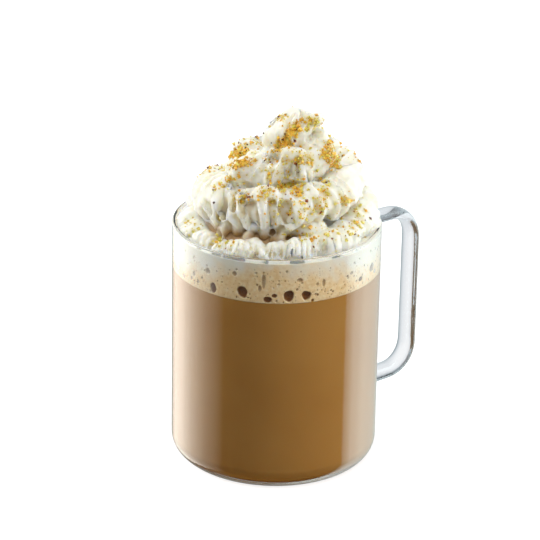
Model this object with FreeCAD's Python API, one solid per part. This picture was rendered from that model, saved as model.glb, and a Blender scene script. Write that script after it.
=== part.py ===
"""Salted caramel latte in a straight glass mug: the mug with its handle, the coffee,
the milk foam on it and a piped swirl of whipped cream.

Frame: millimetres, +Z up. The origin is the centre of the mug's flat underside, and the
handle lies along +X. The crumbs on the cream and the bubbles in the foam are surface
detail, and aren't solids here.
"""
import FreeCAD
import Part

import math
import os

Vector = FreeCAD.Vector

# ---- Mug: a thin straight wall, a rounded heel and a solid base ----
mug_outer_radius = 42.5
mug_height = 102.0
wall_thickness = 2.2
base_thickness = 3.8
heel_radius = 7.5              # outside corner between the wall and the underside
inner_corner_radius = 5.5      # inside corner between the wall and the floor
lip_radius = 0.9               # rounding of both edges of the rim

# ---- Handle: a flattened glass rod bent to a C, thin at the top and thick at the bottom ----
handle_reach = 71.9            # the mug's axis to the middle of the upright
handle_top_below_rim = 11.1    # the rim to the middle of the upper arm
handle_bottom_height = 18.0    # the underside to the middle of the lower arm
handle_top_bend = 12.5         # radii of the two bends, along the middle of the rod
handle_bottom_bend = 11.4
handle_width = 9.0             # across the handle's plane
handle_top_thickness = 4.8     # in the handle's plane
handle_upright_thickness = 5.8
handle_bottom_thickness = 7.0
handle_flare = 2.4             # how much thicker and wider the rod is where it joins the wall
handle_flare_length = 5.0
handle_root_depth = 0.9        # how deep the rod's ends are in the wall

# ---- Contents ----
coffee_below_rim = 18.5        # the rim to the line between coffee and foam
foam_thickness = 13.5
wet_gap = 0.05                 # the contents stand this far from the glass and from each other

# ---- Whipped cream: one fluted rope, coiled anticlockwise from the glass up to a tip ----
front = math.radians(-128.0)   # the side with the deepest flutes, left of the handle
rope_start = front + math.radians(134.0)
rope_start_below_rim = 8.3     # the first turn is pressed down on the foam
rope_turns = 3.6
turn_rise = 13.9               # height of one turn
turn_step = 10.2               # how much nearer to the axis each turn is
last_ring_radius = 1.8         # the coil's radius at the tip
rope_from_glass = 8.4          # the glass to the middle of the widest turn
rope_radius = 9.0
rope_radius_middle = 9.8       # the rope is fattest half way up
rope_radius_tip = 8.2
rope_start_length = 26.0       # the rope swells from nothing over this length
rope_end_angle = 1.6           # and thins to its tip over this angle
swirl_lean = 7.5               # how far the tip leans sideways
swirl_lean_direction = front + math.radians(90.0)
flutes_round_rope = 3
flute_pitch = 6.6              # from one flute to the next, along the rope
flute_depth = 2.9
shallow_flute_depth = 1.3      # on the side away from the front
mound_below_rim = 2.2          # the spread cream meets the glass this far below the rim
mound_slope = 0.95             # how fast its surface runs inwards as it rises
fold_softness = 0.45           # rounding of the folds between the turns
tip_flat_radius = 0.8          # the flat that closes the tip

# ---- Fineness of the curved surfaces ----
cream_points_round = 192
cream_rows = 54
rod_points_round = 12
rod_section_spacing = 3.0


def line(start, end):
    return Part.LineSegment(start, end).toShape()


def corner(centre_r, centre_z, radius, from_degrees, to_degrees):
    """An arc in the XZ plane."""
    def point(degrees):
        angle = math.radians(degrees)
        return Vector(centre_r + radius * math.cos(angle), 0, centre_z + radius * math.sin(angle))
    middle = (from_degrees + to_degrees) / 2
    return Part.Arc(point(from_degrees), point(middle), point(to_degrees)).toShape()


def revolve(edges):
    """Turns a closed outline in the XZ plane about Z into a solid."""
    face = Part.Face(Part.Wire(edges))
    return face.revolve(Vector(0, 0, 0), Vector(0, 0, 1), 360)


def solid_from_rings(rings):
    """A solid from closed rings of control points, from one flat end to the other.

    The side is one smooth surface, and the first and last ring each lie in a plane.
    """
    degree = 3
    points_round = len(rings[0])
    spans = len(rings) - degree
    poles = [[ring[i] for ring in rings] for i in range(points_round)]
    surface = Part.BSplineSurface()
    surface.buildFromPolesMultsKnots(
        poles,
        [1] * (points_round + 1), [degree + 1] + [1] * (spans - 1) + [degree + 1],
        list(range(points_round + 1)), list(range(spans + 1)),
        True, False, degree, degree)
    side = surface.toShape().Faces[0]
    ends = [edge for edge in side.Edges if edge.isClosed() and not edge.isSeam(side)]
    caps = [Part.Face(Part.Wire(edge)) for edge in ends]
    shell = Part.makeShell([side] + caps)
    shell.sewShape()
    solid = Part.Solid(shell.Shells[0])
    if solid.Volume < 0:
        solid.reverse()
    return solid


# ---- Mug ----

def inner_radius():
    return mug_outer_radius - wall_thickness


def make_cup():
    """The mug without its handle."""
    r_out = mug_outer_radius
    r_in = inner_radius()
    lip = min(lip_radius, 0.48 * wall_thickness)
    heel = heel_radius
    inner = inner_corner_radius
    top = mug_height
    floor = base_thickness
    edges = [
        line(Vector(0, 0, 0), Vector(r_out - heel, 0, 0)),
        corner(r_out - heel, heel, heel, -90, 0),
        line(Vector(r_out, 0, heel), Vector(r_out, 0, top - lip)),
        corner(r_out - lip, top - lip, lip, 0, 90),
        line(Vector(r_out - lip, 0, top), Vector(r_in + lip, 0, top)),
        corner(r_in + lip, top - lip, lip, 90, 180),
        line(Vector(r_in, 0, top - lip), Vector(r_in, 0, floor + inner)),
        corner(r_in - inner, floor + inner, inner, 0, -90),
        line(Vector(r_in - inner, 0, floor), Vector(0, 0, floor)),
        line(Vector(0, 0, floor), Vector(0, 0, 0)),
    ]
    return revolve(edges)


def handle_root_x():
    """Where the rod's flat ends lie, inside the curved wall."""
    half_width = (handle_width + handle_flare) / 2
    return math.sqrt(mug_outer_radius ** 2 - half_width ** 2) - handle_root_depth


def handle_path():
    """The rod's middle line: its length, and a function from distance to x, z and heading."""
    root_x = handle_root_x()
    top_z = mug_height - handle_top_below_rim
    low_z = handle_bottom_height
    top_arm = handle_reach - handle_top_bend - root_x
    low_arm = handle_reach - handle_bottom_bend - root_x
    upright = top_z - handle_top_bend - low_z - handle_bottom_bend
    top_turn = handle_top_bend * math.pi / 2
    low_turn = handle_bottom_bend * math.pi / 2

    def at(distance):
        if distance <= top_arm:
            return root_x + distance, top_z, 0.0
        distance -= top_arm
        if distance <= top_turn:
            turn = distance / handle_top_bend
            x = handle_reach - handle_top_bend + handle_top_bend * math.sin(turn)
            z = top_z - handle_top_bend + handle_top_bend * math.cos(turn)
            return x, z, -turn
        distance -= top_turn
        if distance <= upright:
            return handle_reach, top_z - handle_top_bend - distance, -math.pi / 2
        distance -= upright
        if distance <= low_turn:
            turn = distance / handle_bottom_bend
            x = handle_reach - handle_bottom_bend + handle_bottom_bend * math.cos(turn)
            z = low_z + handle_bottom_bend - handle_bottom_bend * math.sin(turn)
            return x, z, -math.pi / 2 - turn
        distance -= low_turn
        return handle_reach - handle_bottom_bend - distance, low_z, -math.pi

    return top_arm + top_turn + upright + low_turn + low_arm, at


def smooth_step(value):
    value = min(1.0, max(0.0, value))
    return value * value * (3 - 2 * value)


def rod_size(distance, length):
    """Thickness and width of the rod at a distance along it."""
    share = distance / length
    thickness = handle_top_thickness
    thickness += (handle_upright_thickness - handle_top_thickness) * smooth_step(share / 0.4)
    thickness += (handle_bottom_thickness - handle_upright_thickness) * smooth_step((share - 0.6) / 0.4)
    from_root = min(distance, length - distance)
    flare = handle_flare * max(0, 1 - from_root / handle_flare_length) ** 2
    return thickness + flare, handle_width + flare


def make_handle():
    """The rod as one smooth surface through oval rings of control points."""
    length, at = handle_path()
    count = max(16, round(length / rod_section_spacing))
    # a ring of control points stands this much outside the oval that it makes
    outside = 3 / (2 + math.cos(2 * math.pi / rod_points_round))
    rings = []
    for i in range(count + 1):
        distance = length * i / count
        x, z, heading = at(distance)
        thickness, width = rod_size(distance, length)
        in_plane = Vector(-math.sin(heading), 0, math.cos(heading))
        ring = []
        for j in range(rod_points_round):
            angle = 2 * math.pi * j / rod_points_round
            across = Vector(0, outside * width / 2 * math.cos(angle), 0)
            ring.append(Vector(x, 0, z) + across + in_plane * (outside * thickness / 2 * math.sin(angle)))
        rings.append(ring)
    return solid_from_rings(rings)


def make_mug():
    return make_cup().fuse(make_handle()).removeSplitter()


# ---- Coffee and foam ----

def contents_radius():
    return inner_radius() - wet_gap


def coffee_top():
    return mug_height - coffee_below_rim


def foam_bottom():
    return coffee_top() + wet_gap


def cream_bottom():
    return foam_bottom() + foam_thickness + wet_gap


def make_coffee():
    """Fills the mug from its floor to the coffee line."""
    r = contents_radius()
    low = base_thickness + wet_gap
    top = coffee_top()
    bend = inner_corner_radius - wet_gap
    edges = [
        line(Vector(0, 0, low), Vector(r - bend, 0, low)),
        corner(r - bend, low + bend, bend, -90, 0),
        line(Vector(r, 0, low + bend), Vector(r, 0, top)),
        line(Vector(r, 0, top), Vector(0, 0, top)),
        line(Vector(0, 0, top), Vector(0, 0, low)),
    ]
    return revolve(edges)


def make_foam():
    """A layer of milk foam that runs right across the mug."""
    return Part.makeCylinder(contents_radius(), foam_thickness, Vector(0, 0, foam_bottom()))


# ---- Whipped cream ----

def ring_radius(turns):
    """The coil's radius after a number of turns: pressed to the glass at first, then a cone."""
    widest = contents_radius() - rope_from_glass
    cone = last_ring_radius + turn_step * (rope_turns - turns)
    blend = 1.5
    apart = math.sqrt((widest - cone) ** 2 + blend ** 2)
    return max(last_ring_radius, (widest + cone - apart) / 2)


def turn_height(turns):
    return mug_height - rope_start_below_rim + turn_rise * turns


def rope_at(phi):
    """Where the rope is at an angle along the coil: coil radius, height and rope radius."""
    turns = phi / (2 * math.pi)
    ring = ring_radius(turns)
    share = turns / rope_turns
    unsteady = min(1.0, 2 * (1 - share))
    ring += unsteady * (0.7 * math.sin(1.9 * phi + 0.6) + 0.5 * math.sin(4.3 * phi))
    height = turn_height(turns) + 0.6 * math.sin(2.7 * phi + 1.0)
    swell = 4 * share * (1 - share)
    radius = rope_radius + (rope_radius_tip - rope_radius) * share
    radius += swell * (rope_radius_middle - (rope_radius + rope_radius_tip) / 2)
    radius *= 1 + 0.05 * math.sin(3.1 * phi + 2.0) + 0.04 * math.sin(7.3 * phi)
    radius *= smooth_step(0.1 + 0.9 * phi * ring / rope_start_length)
    radius *= 0.62 + 0.38 * smooth_step((2 * math.pi * rope_turns - phi) / rope_end_angle)
    return ring, height, radius


def flute_turning():
    """How far the flutes have turned at even steps of the coil angle, and that step."""
    steps = 600
    step = 2 * math.pi * rope_turns / steps
    turned = [0.0]
    for i in range(steps):
        ring = max(rope_at((i + 0.5) * step)[0], rope_radius / 2)
        turned.append(turned[-1] + 2 * math.pi * ring * step / flute_pitch)
    return turned, step


def cream_sections(theta, turned, step):
    """Every turn of the rope that the half-plane at azimuth theta cuts."""
    found = []
    phi = (theta - rope_start) % (2 * math.pi)
    while phi <= 2 * math.pi * rope_turns:
        ring, height, radius = rope_at(phi)
        low = min(int(phi / step), len(turned) - 2)
        phase = turned[low] + (turned[low + 1] - turned[low]) * (phi / step - low)
        found.append((ring, height, radius, phase))
        phi += 2 * math.pi
    return found


def in_rope(r, z, section, depth):
    """Whether a point of the half-plane is in one turn: round, with narrow ridges on it."""
    ring, height, radius, phase = section
    angle = math.atan2(z - height, r - ring)
    ridge = (0.5 + 0.5 * math.cos(flutes_round_rope * angle + phase)) ** 1.4
    depth = min(depth, 0.6 * radius)
    return math.hypot(r - ring, z - height) <= radius - depth * (1 - ridge)


def core_radius(z):
    """The cream behind the rope: the spread mound on the foam, and a cone up the middle."""
    above = max(0.0, z - (mug_height - mound_below_rim))
    mound = contents_radius() - mound_slope * above - 0.06 * above * above
    turns = (z - turn_height(0)) / turn_rise
    cone = min(contents_radius(), last_ring_radius + turn_step * (rope_turns - turns))
    return max(mound, cone, 0.0)


def core_reach(origin_z, cos_pitch, sin_pitch):
    low, high = 0.0, 2 * mug_outer_radius
    for _ in range(24):
        middle = (low + high) / 2
        if middle * cos_pitch <= core_radius(origin_z + middle * sin_pitch):
            low = middle
        else:
            high = middle
    return low


def rope_reach(origin_z, cos_pitch, sin_pitch, section, depth):
    """How far along a ray from the axis one turn reaches, or 0 if the ray misses it."""
    ring, height, radius, _ = section
    along = ring * cos_pitch + (height - origin_z) * sin_pitch
    off = (height - origin_z) * cos_pitch - ring * sin_pitch
    if abs(off) >= radius:
        return 0.0
    half = math.sqrt(radius * radius - off * off)

    def inside(reach):
        return in_rope(reach * cos_pitch, origin_z + reach * sin_pitch, section, depth)

    steps = 20
    outer = along + half
    for i in range(1, steps + 1):
        reach = along + half - 2 * half * i / steps
        if inside(reach):
            for _ in range(8):
                middle = (reach + outer) / 2
                if inside(middle):
                    reach = middle
                else:
                    outer = middle
            return max(0.0, reach)
        outer = reach
    return 0.0


def soft_largest(values):
    """The largest value, rounded up a little where two are nearly equal."""
    top = max(values)
    return top + fold_softness * math.log(sum(math.exp((v - top) / fold_softness) for v in values))


def row_origins():
    """The rays' start on the axis and their upward pitch, row by row from the foam to the tip."""
    low = cream_bottom()
    high = turn_height(rope_turns) - rope_radius_tip / 2
    flank_pitch = math.atan2(turn_step, turn_rise)
    rows = []
    for i in range(cream_rows):
        share = i / (cream_rows - 1)
        pitch = flank_pitch * smooth_step(share / 0.45)
        pitch += (math.pi / 2 * 0.92 - flank_pitch) * smooth_step((share - 0.66) / 0.34)
        rise = 0.62 * share + 0.38 * smooth_step((share - 0.1) / 0.7)
        rows.append((low + (high - low) * rise, pitch))
    return rows


def flute_depth_at(theta):
    """Flutes are deep on the front and shallow behind."""
    facing = (1 + math.cos(theta - front)) / 2
    return shallow_flute_depth + (flute_depth - shallow_flute_depth) * facing


def lean_at(z):
    """How far the swirl leans at a height."""
    share = max(0.0, (z - mug_height) / (turn_height(rope_turns) - mug_height))
    distance = swirl_lean * share
    return Vector(distance * math.cos(swirl_lean_direction), distance * math.sin(swirl_lean_direction), 0)


def cream_point(theta, sections, origin_z, pitch):
    """The cream's surface point on a ray from the axis."""
    cos_pitch = math.cos(pitch)
    sin_pitch = math.sin(pitch)
    depth = flute_depth_at(theta)
    reaches = [rope_reach(origin_z, cos_pitch, sin_pitch, s, depth) for s in sections]
    reach = soft_largest([core_reach(origin_z, cos_pitch, sin_pitch)] + reaches)
    r = reach * cos_pitch
    z = origin_z + reach * sin_pitch
    point = Vector(r * math.cos(theta), r * math.sin(theta), z) + lean_at(z)
    flat = math.hypot(point.x, point.y)
    limit = contents_radius()
    if flat > limit:
        point.x *= limit / flat
        point.y *= limit / flat
    return point


def cream_rings():
    """Rings of points from the foam up the flank to the tip's flat."""
    turned, step = flute_turning()
    azimuths = [2 * math.pi * i / cream_points_round for i in range(cream_points_round)]
    columns = [cream_sections(theta, turned, step) for theta in azimuths]
    rings = []
    for origin_z, pitch in row_origins():
        rings.append([cream_point(theta, column, origin_z, pitch)
                      for theta, column in zip(azimuths, columns)])
    last = rings[-1]
    centre = sum(last, Vector(0, 0, 0)) * (1 / len(last))
    rings.append([centre + Vector(tip_flat_radius * math.cos(theta), tip_flat_radius * math.sin(theta), 0)
                  for theta in azimuths])
    return rings


def make_cream():
    return solid_from_rings(cream_rings())


def export(name, shape):
    solids = shape.Solids
    if len(solids) != 1:
        raise ValueError(f"{name} has {len(solids)} solids")
    if not solids[0].isValid():
        raise ValueError(f"{name} isn't a valid solid")
    solids[0].exportStep(f"parts/{name}.step")
    print(f"{name}: {solids[0].Volume / 1000:.1f} cm3")


def main():
    os.makedirs("parts", exist_ok=True)
    export("mug", make_mug())
    export("coffee", make_coffee())
    export("milk_foam", make_foam())
    export("whipped_cream", make_cream())


main()
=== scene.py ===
"""The looks of a salted caramel latte: a clear glass mug of milky coffee under milk foam, with a
piped swirl of whipped cream strewn with caramel crumbs.

Sizes are in millimetres and are turned into metres where meshes are made. A bearing is an angle
about the mug's axis in degrees: 0 faces the camera, and 90 is to the viewer's right.
"""

import math

import bmesh
import bpy
import numpy as np
from mathutils import Matrix, Vector
from mathutils.bvhtree import BVHTree
from mathutils.kdtree import KDTree


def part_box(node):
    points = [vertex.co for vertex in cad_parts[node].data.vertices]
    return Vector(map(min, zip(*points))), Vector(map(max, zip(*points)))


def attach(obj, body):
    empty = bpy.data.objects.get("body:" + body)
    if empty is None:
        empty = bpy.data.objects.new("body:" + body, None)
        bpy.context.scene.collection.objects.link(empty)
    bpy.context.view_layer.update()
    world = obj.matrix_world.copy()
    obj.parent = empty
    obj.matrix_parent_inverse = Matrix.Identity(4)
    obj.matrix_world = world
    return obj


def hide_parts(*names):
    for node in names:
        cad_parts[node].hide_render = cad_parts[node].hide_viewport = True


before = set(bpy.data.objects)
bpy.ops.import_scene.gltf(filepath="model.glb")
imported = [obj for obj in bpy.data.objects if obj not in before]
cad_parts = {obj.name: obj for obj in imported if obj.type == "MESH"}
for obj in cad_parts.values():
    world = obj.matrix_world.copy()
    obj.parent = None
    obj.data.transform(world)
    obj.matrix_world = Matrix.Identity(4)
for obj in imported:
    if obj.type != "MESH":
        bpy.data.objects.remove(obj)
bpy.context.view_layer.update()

MM = 0.001
FRONT = math.radians(-128)  # azimuth of bearing 0


def box_of(node):
    """The lowest and highest corners of a CAD node in millimetres."""
    low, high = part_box(node)
    return low / MM, high / MM


# Sizes that come from the frame.
coffee_low, coffee_high = box_of("coffee")
coffee_top = coffee_high.z
contents_radius = coffee_high.y
foam_top = box_of("milk_foam")[1].z
cream_bottom = box_of("whipped_cream")[0].z
rim_height = box_of("mug")[1].z

# Sizes of what fills the glass.
wet_gap = 0.05  # what the frame leaves between the contents and the glass
into_wall = 0.12  # what fills the glass reaches this far into it
fill_radius = contents_radius + wet_gap + into_wall
inner_corner = 5.5  # the rounding between the wall and the floor inside the mug

# Camera, fitted to the mug's outlines. Angles are in degrees.
camera_target = Vector((-1.99, 1.555, 79.823))
camera_elevation = 23.458
camera_distance = 1090.4
camera_lens = 178.31
camera_roll = 0.992


# ==== Helpers ====

def azimuth(bearing):
    """The angle about the axis, in radians, of a bearing in degrees."""
    return FRONT + np.radians(bearing)


def bearings(points):
    """The bearing of each point in degrees."""
    return np.degrees(np.arctan2(points[:, 1], points[:, 0]) - FRONT)


def half_turn(angle):
    """An angle in degrees brought between -180 and 180."""
    return (angle + 180) % 360 - 180


def spot(bearing, radius, z):
    """A point in millimetres from its bearing, distance from the axis and height."""
    angle = FRONT + math.radians(bearing)
    return Vector((radius * math.cos(angle), radius * math.sin(angle), z))


def ring(radius, angles, z):
    """Points round the axis, from numbers or arrays."""
    return np.stack(np.broadcast_arrays(radius * np.cos(angles), radius * np.sin(angles), z), -1)


def smooth_step(value):
    """0 below 0, 1 above 1, and a smooth rise between them."""
    value = np.clip(value, 0, 1)
    return value * value * (3 - 2 * value)


def waves(points, wavelength, seed):
    """Smooth noise of about unit size: a sum of plane waves with random directions."""
    count = 28
    rng = np.random.default_rng(seed)
    directions = rng.normal(size=(count, 3))
    directions /= np.linalg.norm(directions, axis=1)[:, None]
    directions *= 2 * math.pi / wavelength * rng.uniform(0.6, 1.5, (count, 1))
    phases = rng.uniform(0, 2 * math.pi, count)
    return np.sin(points @ directions.T + phases).sum(1) * math.sqrt(2 / count)


# The view's directions, for what is placed as it is seen from the front.
view_rise = math.radians(camera_elevation)
toward_camera = spot(0, math.cos(view_rise), math.sin(view_rise))
view_right = spot(90, 1, 0)
view_up = spot(180, math.sin(view_rise), math.cos(view_rise))


def front_ray(right, up):
    """Start and direction of a ray from the front, which passes so many millimetres right of the
    axis and up from the rim's middle."""
    start_distance = 150
    start = Vector((0, 0, rim_height)) + view_right * right + view_up * up
    return start + toward_camera * start_distance, -toward_camera


# ==== Meshes ====

def grid_faces(rows, columns):
    """Quads of a grid of rows by columns, closed round the columns."""
    i, j = np.meshgrid(np.arange(rows - 1), np.arange(columns), indexing="ij")
    following = (j + 1) % columns
    return np.stack([i * columns + j, i * columns + following,
                     (i + 1) * columns + following, (i + 1) * columns + j], -1).reshape(-1, 4)


def tube(rows_of_points):
    """Points and faces of a closed tube from rings of points, with a fan at each end."""
    rows = np.asarray(rows_of_points)
    count, round_count, _ = rows.shape
    points = rows.reshape(-1, 3)
    faces = grid_faces(count, round_count).tolist()
    first = len(points)
    points = np.vstack([points, rows[0].mean(0), rows[-1].mean(0)])
    last_row = (count - 1) * round_count
    for j in range(round_count):
        k = (j + 1) % round_count
        faces.append([first, k, j])
        faces.append([first + 1, last_row + j, last_row + k])
    return points, faces


def lathe(profile, steps):
    """A closed surface of revolution from (radius, height) pairs that start and end on the axis."""
    angles = np.arange(steps) * 2 * math.pi / steps
    points, faces = tube([ring(radius, angles, z) for radius, z in profile[1:-1]])
    points[-2] = (0, 0, profile[0][1])
    points[-1] = (0, 0, profile[-1][1])
    return points, faces


def joined(parts):
    """One set of points and faces from several."""
    points, faces, start = [], [], 0
    for part_points, part_faces in parts:
        points.append(part_points)
        faces.extend([[index + start for index in face] for face in part_faces])
        start += len(part_points)
    return np.vstack(points), faces


def new_object(name, data):
    """An object in the scene for a mesh, a lamp or a camera."""
    piece = bpy.data.objects.new(name, data)
    bpy.context.scene.collection.objects.link(piece)
    return piece


def new_piece(name, points, faces, material):
    """A smooth mesh object from points in millimetres."""
    mesh = bpy.data.meshes.new(name)
    mesh.from_pydata((np.asarray(points) * MM).tolist(), [], [list(map(int, f)) for f in faces])
    mesh.shade_smooth()
    mesh.materials.append(material)
    piece = new_object(name, mesh)
    return piece


def read_vertices(mesh, attribute):
    """One row of three numbers for each vertex."""
    found = np.empty(len(mesh.vertices) * 3, np.float32)
    mesh.vertices.foreach_get(attribute, found)
    return found.reshape(-1, 3).astype(float)


def mesh_points(mesh):
    """A mesh's points in millimetres."""
    return read_vertices(mesh, "co") / MM


def set_mesh_points(mesh, points):
    """Moves a mesh's points to these, in millimetres."""
    mesh.vertices.foreach_set("co", (points * MM).astype(np.float32).ravel())
    mesh.update()


def surface_of(mesh):
    """A mesh in the form that rays are cast at."""
    return BVHTree.FromPolygons([v.co for v in mesh.vertices],
                                [tuple(f.vertices) for f in mesh.polygons])


def add_marks(mesh, *channels):
    """Stores numbers from 0 to 1 at the vertices, as red, green and blue of a colour layer."""
    colours = np.zeros((len(mesh.vertices), 4), np.float32)
    for index, channel in enumerate(channels):
        colours[:, index] = channel
    colours[:, 3] = 1
    layer = mesh.color_attributes.new("marks", "FLOAT_COLOR", "POINT")
    layer.data.foreach_set("color", colours.ravel())


def apply_modifiers(piece):
    """Replaces a piece's mesh by what its modifiers make of it."""
    graph = bpy.context.evaluated_depsgraph_get()
    made = bpy.data.meshes.new_from_object(piece.evaluated_get(graph))
    piece.modifiers.clear()
    old = piece.data
    piece.data = made
    bpy.data.meshes.remove(old)


def stray_points(work):
    """The points of every loose bit but the largest."""
    left = set(work.verts)
    islands = []
    while left:
        island = [left.pop()]
        for vertex in island:
            for edge in vertex.link_edges:
                other = edge.other_vert(vertex)
                if other in left:
                    left.remove(other)
                    island.append(other)
        islands.append(island)
    islands.sort(key=len)
    return [vertex for island in islands[:-1] for vertex in island]


def doubled_faces(work):
    """Faces that lie back to back on the same corners."""
    by_corners = {}
    for face in work.faces:
        by_corners.setdefault(frozenset(face.verts), []).append(face)
    return [face for faces in by_corners.values() if len(faces) > 1 for face in faces]


def delete_from(mesh, choose, context):
    """Deletes the points or faces of a mesh that the function choose picks."""
    work = bmesh.new()
    work.from_mesh(mesh)
    bmesh.ops.delete(work, geom=choose(work), context=context)
    work.to_mesh(mesh)
    work.free()


# ==== Shader nodes ====

def principled(name, **sockets):
    """A material whose Principled node has these sockets set. Underscores stand for spaces."""
    material = bpy.data.materials.new(name)
    material.use_nodes = True
    shader = material.node_tree.nodes["Principled BSDF"]
    for socket, value in sockets.items():
        shader.inputs[socket.replace("_", " ")].default_value = value
    return material, material.node_tree, shader


def bare_material(name):
    """A material with only its output node, and that node's surface socket."""
    material = bpy.data.materials.new(name)
    material.use_nodes = True
    tree = material.node_tree
    tree.nodes.clear()
    return material, tree, tree.nodes.new("ShaderNodeOutputMaterial").inputs["Surface"]


def add_noise(tree, scale, detail):
    """Noise in the object's own space, whose scale counts its waves in a metre."""
    place = tree.nodes.new("ShaderNodeTexCoord")
    noise = tree.nodes.new("ShaderNodeTexNoise")
    noise.inputs["Scale"].default_value = scale
    noise.inputs["Detail"].default_value = detail
    tree.links.new(place.outputs["Object"], noise.inputs["Vector"])
    return noise.outputs["Fac"]


def add_ramp(tree, factor, stops):
    """The colour that (position, colour) stops give for a factor."""
    ramp = tree.nodes.new("ShaderNodeValToRGB")
    elements = ramp.color_ramp.elements
    while len(elements) < len(stops):
        elements.new(0.5)
    for element, (position, colour) in zip(elements, stops):
        element.position = position
        element.color = (*colour, 1)
    tree.links.new(factor, ramp.inputs["Fac"])
    return ramp.outputs["Color"]


def feed(tree, socket, value):
    """Gives a socket a number, a colour or another node's output."""
    if isinstance(value, bpy.types.NodeSocket):
        tree.links.new(value, socket)
    else:
        socket.default_value = (*value, 1) if isinstance(value, tuple) else value


def mix_colour(tree, factor, first, second):
    """Blends from the first colour, at a factor of 0, to the second, at 1."""
    node = tree.nodes.new("ShaderNodeMixRGB")
    for socket, value in zip(node.inputs, (factor, first, second)):
        feed(tree, socket, value)
    return node.outputs["Color"]


def math_node(tree, operation, *values):
    """What a Math node makes of its values."""
    node = tree.nodes.new("ShaderNodeMath")
    node.operation = operation
    for socket, value in zip(node.inputs, values):
        feed(tree, socket, value)
    return node.outputs[0]


def map_range(tree, value, low, high, to_low, to_high):
    """A value brought from one range to another, and held within it."""
    node = tree.nodes.new("ShaderNodeMapRange")
    names = ("From Min", "From Max", "To Min", "To Max")
    for name, limit in zip(names, (low, high, to_low, to_high)):
        node.inputs[name].default_value = limit
    tree.links.new(value, node.inputs["Value"])
    return node.outputs["Result"]


def from_vector(tree, vector, along=None):
    """A vector's length, or how far it goes along a direction."""
    node = tree.nodes.new("ShaderNodeVectorMath")
    node.operation = "LENGTH" if along is None else "DOT_PRODUCT"
    tree.links.new(vector, node.inputs[0])
    if along is not None:
        node.inputs[1].default_value = along
    return node.outputs["Value"]


def position_of(tree):
    """The place that is being shaded, in metres."""
    return tree.nodes.new("ShaderNodeNewGeometry").outputs["Position"]


def read_marks(tree):
    """The numbers that add_marks stored: outputs Red, Green and Blue."""
    marks = tree.nodes.new("ShaderNodeVertexColor")
    marks.layer_name = "marks"
    split = tree.nodes.new("ShaderNodeSeparateColor")
    tree.links.new(marks.outputs["Color"], split.inputs["Color"])
    return split.outputs


def add_bump(tree, shader, height, distance):
    """Roughens a shader's surface by a height from 0 to 1, times a distance in metres."""
    bump = tree.nodes.new("ShaderNodeBump")
    bump.inputs["Distance"].default_value = distance
    tree.links.new(height, bump.inputs["Height"])
    tree.links.new(bump.outputs["Normal"], shader.inputs["Normal"])


# ==== Materials ====

def make_glass(name, ior, tint_and_edge_shade):
    """Clear glass whose colour darkens where it is seen edge-on, from (facing, colour) pairs: a little
    for its own tint, and much more as painted shade on its outline.
    """
    material, tree, shader = principled(name, Roughness=0.0, IOR=ior, Transmission_Weight=1.0)
    weight = tree.nodes.new("ShaderNodeLayerWeight")
    weight.inputs["Blend"].default_value = 0.5
    colour = add_ramp(tree, weight.outputs["Facing"], tint_and_edge_shade)
    tree.links.new(colour, shader.inputs["Base Color"])
    return material


def make_coffee_material():
    """Coffee with milk, a little uneven in colour, that light soaks into."""
    material, tree, shader = principled(
        "milky_coffee", Roughness=0.30, Specular_IOR_Level=0.1, Subsurface_Weight=0.5,
        Subsurface_Scale=0.003, Subsurface_Radius=(1.0, 0.6, 0.3))
    browns = [(0.35, (0.455, 0.230, 0.058)), (0.65, (0.485, 0.255, 0.068))]
    colour = add_ramp(tree, add_noise(tree, 30, 2), browns)
    tree.links.new(colour, shader.inputs["Base Color"])
    return material


def make_foam_material():
    """Tan foam. Its marks are Red for painted shade, dark brown, in bubbles and the recess, and Green
    for melted cream and painted light away from the front.
    """
    material, tree, shader = principled(
        "milk_foam", Roughness=0.5, Specular_IOR_Level=0.15, Subsurface_Weight=0.4,
        Subsurface_Scale=0.002, Subsurface_Radius=(1.0, 0.8, 0.5))
    marks = read_marks(tree)
    grain = add_noise(tree, 700, 4)
    tans = [(0.30, (0.80, 0.58, 0.31)), (0.50, (0.87, 0.67, 0.39)), (0.70, (0.91, 0.76, 0.51))]
    colour = mix_colour(tree, marks["Green"], add_ramp(tree, grain, tans), (0.85, 0.835, 0.75))
    colour = mix_colour(tree, marks["Red"], colour, (0.21, 0.072, 0.008))
    tree.links.new(colour, shader.inputs["Base Color"])
    add_bump(tree, shader, grain, 0.00006)
    return material


def make_cream_material():
    """Whipped cream with a fine grain. Its marks are Red where caramel has melted on it, Green for
    painted shade in hollows, tan, and Blue for painted shade in the recess at the front, dark brown,
    together with coffee that has soaked in."""
    material, tree, shader = principled(
        "whipped_cream", Roughness=0.42, Subsurface_Weight=1.0, Subsurface_Scale=0.008,
        Subsurface_Radius=(1.0, 0.85, 0.55))
    marks = read_marks(tree)
    creams = [(0.35, (0.815, 0.795, 0.675)), (0.65, (0.845, 0.835, 0.745))]
    colour = add_ramp(tree, add_noise(tree, 60, 3), creams)
    # Green and Blue are painted shade: tan in hollows, dark brown in the front recess.
    for mark, marked_colour in (("Green", (0.66, 0.55, 0.33)), ("Blue", (0.40, 0.25, 0.11)),
                                ("Red", (0.78, 0.58, 0.14))):
        colour = mix_colour(tree, marks[mark], colour, marked_colour)
    tree.links.new(colour, shader.inputs["Base Color"])
    add_bump(tree, shader, add_noise(tree, 900, 2), 0.00012)
    return material


def make_crumb_material(kind, dark, light, roughness):
    """Caramel or sugar between a dark and a light colour, with a thin gloss."""
    material, tree, shader = principled(
        "crumb_" + kind, Roughness=roughness, IOR=1.5, Subsurface_Weight=0.25, Subsurface_Scale=0.0006,
        Coat_Weight=0.3, Coat_Roughness=0.15)
    colour = add_ramp(tree, add_noise(tree, 520, 2), [(0.36, dark), (0.64, light)])
    tree.links.new(colour, shader.inputs["Base Color"])
    return material


# ==== Mug ====

handle_starts = 43.4  # the glass further from the axis than this is the handle's rod


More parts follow.
